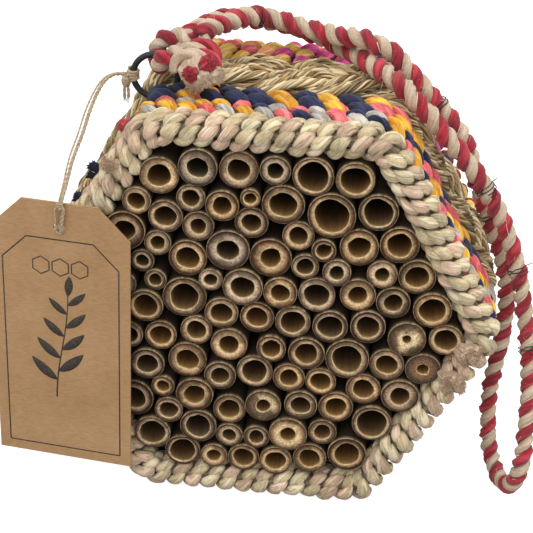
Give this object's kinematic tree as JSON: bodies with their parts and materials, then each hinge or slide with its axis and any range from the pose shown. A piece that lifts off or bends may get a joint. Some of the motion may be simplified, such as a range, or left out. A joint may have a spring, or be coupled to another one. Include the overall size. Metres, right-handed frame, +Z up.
{
  "type": "insect hotel",
  "caption": "Hexagonal insect hotel: a drum of plaited cloth and grass bands filled with bamboo canes, with a rope loop on a ring and a card swing tag.",
  "frame": {"origin": "on the floor under the middle of the drum", "axes": "+Z up, the canes open towards -Y, +X to the right of a person who faces the canes"},
  "size_m": [0.1953, 0.0983, 0.1675],
  "materials": {
    "cream_cloth": "plaited strips of soft cotton cloth",
    "mixed_cloth": "plaited strips of printed cotton cloth",
    "golden_cloth": "plaited strips of printed cotton cloth",
    "dried_grass": "plaited bundles of dried grass",
    "red_cloth": "plaited strips of printed cotton cloth",
    "frame_wire": "black paint on steel wire",
    "black_wire": "matte black paint on steel wire",
    "rope": "two-ply rope of cloth and cotton",
    "twine": "loose jute twine",
    "kraft_card": "uncoated kraft card",
    "bamboo": "sawn bamboo"
  },
  "bodies": {
    "hotel": {"front_rim": "cream_cloth", "narrow_cloth_band": "mixed_cloth", "golden_cloth_band": "golden_cloth", "grass_band": "dried_grass", "back_cloth_band": "red_cloth", "back_plait_1": "dried_grass", "back_plait_2": "dried_grass", "back_plait_3": "dried_grass", "back_plait_4": "dried_grass", "back_button": "dried_grass", "front_wire_hoop": "frame_wire", "back_wire_hoop": "frame_wire", "corner_rod_1": "frame_wire", "corner_rod_2": "frame_wire", "corner_rod_3": "frame_wire", "corner_rod_4": "frame_wire", "corner_rod_5": "frame_wire", "corner_rod_6": "frame_wire", "handle_ring": "black_wire", "handle_knot": "rope", "handle_rope": "rope", "twine_knot": "twine", "cane_row_1": "bamboo", "cane_row_2": "bamboo", "cane_row_3": "bamboo", "cane_row_4": "bamboo", "cane_row_5": "bamboo", "cane_row_6": "bamboo", "cane_row_7": "bamboo", "cane_row_8": "bamboo", "cane_row_9": "bamboo", "cane_row_10": "bamboo", "cane_row_11": "bamboo"},
    "swing_tag": {"tag": "kraft_card", "tag_twine": "twine"}
  },
  "joints": [
    {"name": "tag_swing", "type": "hinge", "parent": "hotel", "child": "swing_tag", "pos_m": [-0.05358, -0.007, 0.14877], "axis": [1, 0, 0], "range_deg": [-70, 0]}
  ]
}
